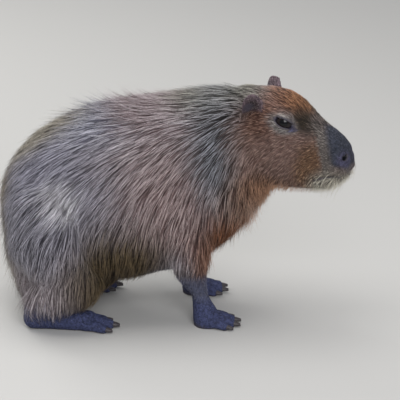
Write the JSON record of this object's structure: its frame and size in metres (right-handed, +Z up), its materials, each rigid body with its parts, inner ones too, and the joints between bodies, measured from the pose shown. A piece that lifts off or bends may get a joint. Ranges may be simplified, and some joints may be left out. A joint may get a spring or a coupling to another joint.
{
  "type": "sitting capybara model",
  "caption": "Still, life-size model of a sitting capybara with a coarse grizzled coat, its head turned to its right, to stand on a floor as a museum display.",
  "frame": {"origin": "middle of the whole model's box in X and Y, on the floor", "axes": "+X the way the body faces, +Y towards the animal's left side, +Z up"},
  "size_m": [0.6026, 0.2882, 0.4175],
  "materials": {
    "coat_body": "coarse, grizzled grey-brown hair",
    "coat_face": "short rufous-brown hair, slate muzzle",
    "coat_leg": "short slate-grey hair over skin",
    "ear_skin": "thin, mauve-grey skin",
    "eye": "wet gloss",
    "claw": "dark blunt horn"
  },
  "bodies": {
    "root": {"head": "coat_face", "neck": "coat_body", "torso": "coat_body", "foreleg_right": "coat_leg", "foreleg_left": "coat_leg", "hind_leg_right": "coat_body", "hind_leg_left": "coat_body", "ear_right": "ear_skin", "ear_left": "ear_skin", "eye_right": "eye", "eye_left": "eye", "foreclaw_right_1": "claw", "foreclaw_right_2": "claw", "foreclaw_right_3": "claw", "foreclaw_right_4": "claw", "hindclaw_right_1": "claw", "hindclaw_right_2": "claw", "hindclaw_right_3": "claw", "foreclaw_left_1": "claw", "foreclaw_left_2": "claw", "foreclaw_left_3": "claw", "foreclaw_left_4": "claw", "hindclaw_left_1": "claw", "hindclaw_left_2": "claw", "hindclaw_left_3": "claw"}
  },
  "joints": []
}
